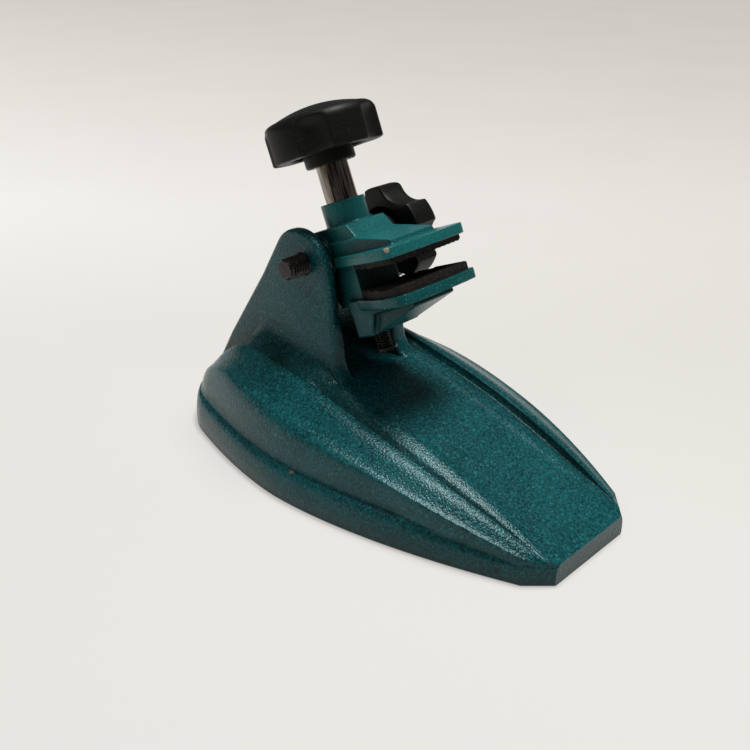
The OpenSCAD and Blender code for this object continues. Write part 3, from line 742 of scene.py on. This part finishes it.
# stud and clamp screw with real threads
studLook = {"radius": 4, "pitch": 1.25, "low": -26.1, "high": 32.8, "chamfer": 0.7}
screwLook = {"radius": 3, "pitch": 1, "low": -40.1, "threadTop": -12, "shoulder": 8.9, "shank": 5.9,
             "collar": 31.2, "tang": 4, "tangTop": 45.9, "chamfer": 0.6}
# shares of the pitch
threadLook = {"depth": 0.61, "crestFrom": 0.38, "crestTo": 0.5, "rootAt": 0.88, "rootFlat": 0.12}


def threadedBar(name, radius, pitch, low, high, chamfer):
    # one step of the thread's flank is screwed up the axis, cut flat at both ends and chamfered
    t = threadLook
    deep = t["depth"] * pitch
    turns = math.ceil((high - low) / pitch) + 3
    bpy.ops.object.select_all(action="DESELECT")
    bpy.ops.mesh.primitive_circle_add(vertices=4, radius=0.01)
    bar = nameNew(name)
    flank = [(radius - deep, 0), (radius, t["crestFrom"] * pitch), (radius, t["crestTo"] * pitch),
             (radius - deep, t["rootAt"] * pitch)]
    for v, (r, z) in zip(bar.data.vertices, flank):
        v.co = (r * mm, 0, (low - 2 * pitch + z) * mm)
    pickVerts(bar, lambda c: True)
    bpy.ops.mesh.select_mode(type="EDGE")
    bpy.ops.mesh.select_all(action="DESELECT")
    editDone()
    for e in bar.data.edges:  # the closing edge of the start shape goes
        e.select = set(e.vertices) == {0, 3}
    bpy.ops.object.mode_set(mode="EDIT")
    bpy.ops.mesh.delete(type="EDGE")
    editDone()
    pickVerts(bar, lambda c: abs(c.z - (low - 2 * pitch + t["rootAt"] * pitch) * mm) < 1e-7)
    bpy.ops.mesh.extrude_vertices_move(TRANSFORM_OT_translate={"value": (0, 0, t["rootFlat"] * pitch * mm)})
    editDone()
    useModifier(bar, "SCREW", axis="Z", screw_offset=pitch * mm, iterations=turns, steps=40, render_steps=40,
                use_merge_vertices=True, merge_threshold=1e-6, use_normal_calculate=True)
    tidyMesh(bar, 1e-6)
    for z, way in ((low, -1), (high, 1)):
        editAll(bar)
        bpy.ops.mesh.bisect(plane_co=(0, 0, z * mm), plane_no=(0, 0, way), clear_outer=True)
        bpy.ops.mesh.select_all(action="SELECT")
        bpy.ops.mesh.remove_doubles(threshold=1e-7)
        editDone()
    editAll(bar)
    bpy.ops.mesh.fill_holes(sides=0)
    editDone()
    for v in bar.data.vertices:
        limit = (radius - chamfer) * mm + min(v.co.z - low * mm, high * mm - v.co.z)
        rho = math.hypot(v.co.x, v.co.y)
        if rho > limit:
            v.co.x *= limit / rho
            v.co.y *= limit / rho
    tidyMesh(bar, 1e-6)
    return bar


def makeStud():
    s = studLook
    stud = threadedBar("lockStud", s["radius"], s["pitch"], s["low"], s["high"], s["chamfer"])
    putAt(stud, studPlace)
    shadeSoft(stud, 30)
    place(stud, "lock_knob", "black_oxide", blackOxide, "lock_stud")


def makeScrew():
    s = screwLook
    thread = threadedBar("clampThread", s["radius"], s["pitch"], s["low"], s["threadTop"], s["chamfer"])
    putAt(thread, clampPlace @ Matrix.Translation(screwAxis))
    shadeSoft(thread, 30)
    place(thread, "clamp_screw", "black_oxide", blackOxide)
    neck, seat = s["radius"] - 0.1, s["collar"] - 0.05  # just clear of the thread's crest and of the knob
    line = [(s["radius"] - 0.3, s["threadTop"] - 0.4), (neck, s["threadTop"] + 1), (neck, s["shoulder"]),
            (s["shank"] - 0.3, s["shoulder"]), (s["shank"], s["shoulder"] + 0.3), (s["shank"], seat),
            (s["tang"], seat), (s["tang"], s["tangTop"] - 0.5), (s["tang"] - 0.5, s["tangTop"])]
    shank = turnedBar("clampShank", [(r * mm, z * mm) for r, z in line], 96)
    putAt(shank, clampPlace @ Matrix.Translation(screwAxis))
    shadeSoft(shank, 30)
    place(shank, "clamp_screw", "bright_steel", shaftSteel, "clamp_screw")


makeStud()
makeScrew()
print("stud and screw made")

# pieces that keep the solids' own shape
finishes = {
    "friction_washer_left": blackOxide, "friction_washer_right": blackOxide, "lock_washer": polishedSteel,
    "lock_knob_insert": insertBrass, "clamp_knob_insert": insertBrass, "upper_pad": padRubber,
    "lower_pad": padRubber, "thrust_washer": polishedSteel, "screw_stop_ring": blackOxide}
for nodeName, finish in finishes.items():
    nodes[nodeName].data.materials.clear()
    nodes[nodeName].data.materials.append(finish)
print("kept solids dressed")

# stage: pale paper that darkens with the distance as painted shade, a dim room and two lamps
# the far tone is painted shade, darker where the paper lies farther off and slanted across it
stageLook = {
    "size": 200, "near": (1.0, 0.98, 0.945, 1), "far": (0.59, 0.555, 0.515, 1), "slant": 0.6, "keep": 0.33,
    "cloud": 9.0, "wash": 0.05, "floor": (0.76, 0.75, 0.72, 1), "rough": 0.75, "shine": 0.2,
    "evenFrom": (0.1, 0.5), "evenNear": 0.45, "world": (1.0, 0.97, 0.93, 1), "worldLight": 0.1}


def makeStage():
    bpy.ops.object.select_all(action="DESELECT")
    bpy.ops.mesh.primitive_plane_add(size=stageLook["size"], location=(0, 0, 0))
    floor = nameNew("floor")
    m, tree, skin = newMaterial("paleFloor")
    link = tree.links.new
    where = addNode(tree, "ShaderNodeTexCoord").outputs["Object"]
    apart = addNode(tree, "ShaderNodeSeparateXYZ")
    link(where, apart.inputs["Vector"])
    along = mathNode(tree, "ADD", apart.outputs["X"], apart.outputs["Y"])
    across = mathNode(tree, "SUBTRACT", apart.outputs["X"], apart.outputs["Y"])
    slant = mathNode(tree, "MULTIPLY_ADD", across, stageLook["slant"], along)
    away = mathNode(tree, "MAXIMUM", slant, 0.0)
    fall = mathNode(tree, "POWER", stageLook["keep"], away)  # painted shade: the tone falls off with the distance, standing in for the light falling off over the paper
    ramp = mathNode(tree, "SUBTRACT", 1.0, fall)
    cloud = addNode(tree, "ShaderNodeTexNoise", Scale=stageLook["cloud"], Detail=4.0)
    link(where, cloud.inputs["Vector"])
    wash = rangeNode(tree, cloud.outputs["Fac"], given=(-stageLook["wash"], stageLook["wash"]))
    total = mathNode(tree, "ADD", ramp, wash, clamp=True)
    falloffTone = mixNode(tree, total, stageLook["near"], stageLook["far"])
    skin.inputs["Base Color"].default_value = stageLook["floor"]
    skin.inputs["Roughness"].default_value = stageLook["rough"]
    skin.inputs["Specular IOR Level"].default_value = stageLook["shine"]
    # the camera and mirrors see the paper's tone with its painted falloff, all of it far off and part of it
    # near the shadow
    beyond = rangeNode(tree, along, stageLook["evenFrom"], (stageLook["evenNear"], 1), "SMOOTHSTEP")
    rays = addNode(tree, "ShaderNodeLightPath")
    mirror = mathNode(tree, "MAXIMUM", rays.outputs["Is Glossy Ray"], rays.outputs["Is Transmission Ray"])
    either = mathNode(tree, "MAXIMUM", rays.outputs["Is Camera Ray"], mirror)
    seen = mathNode(tree, "MULTIPLY", beyond, either)
    glow = addNode(tree, "ShaderNodeEmission")
    link(falloffTone, glow.inputs["Color"])
    both = addNode(tree, "ShaderNodeMixShader")
    link(seen, both.inputs["Fac"])
    link(skin.outputs["BSDF"], both.inputs[1])
    link(glow.outputs["Emission"], both.inputs[2])
    link(both.outputs["Shader"], tree.nodes["Material Output"].inputs["Surface"])
    floor.data.materials.append(m)
    world = bpy.data.worlds.new("softRoom")
    world.use_nodes = True
    world.node_tree.nodes["Background"].inputs["Color"].default_value = stageLook["world"]
    world.node_tree.nodes["Background"].inputs["Strength"].default_value = stageLook["worldLight"]
    bpy.context.scene.world = world


keyLook = {"way": (0.16, -0.04, 0.986), "size": (0.5, 0.36), "power": 15, "color": (1.0, 0.98, 0.95)}
leftLook = {"way": (-0.66, 0.10, 0.74), "size": (0.3, 0.3), "power": 0.8, "color": (1.0, 0.98, 0.96)}
lampFar = 1.3  # from a point inside the part that the lamps face
lampAim = Vector((0, 0, 0.05))


def addLamp(name, look):
    bpy.ops.object.select_all(action="DESELECT")
    way = Vector(look["way"])
    bpy.ops.object.light_add(type="AREA", location=way.normalized() * lampFar + lampAim)
    lamp = bpy.context.object
    lamp.name = name
    lamp.data.shape = "RECTANGLE"
    lamp.data.size, lamp.data.size_y = look["size"]
    lamp.data.energy = look["power"]
    lamp.data.color = look["color"]
    lamp.rotation_euler = (-way).to_track_quat("-Z", "Y").to_euler()


makeStage()
addLamp("keyLamp", keyLook)
addLamp("leftLamp", leftLook)

cameraLook = {"at": (-0.2272, -0.2154, 0.2004), "turn": (62.26, 0.0, -45.18), "lens": 45.36, "sensor": 36}
bpy.ops.object.camera_add(location=cameraLook["at"], rotation=[math.radians(a) for a in cameraLook["turn"]])
camera = bpy.context.object
camera.data.lens = cameraLook["lens"]
camera.data.sensor_width = cameraLook["sensor"]
camera.data.clip_start = 0.01
bpy.context.scene.camera = camera
bpy.context.scene.view_settings.view_transform = "Standard"
print("stage, lamps and camera set")
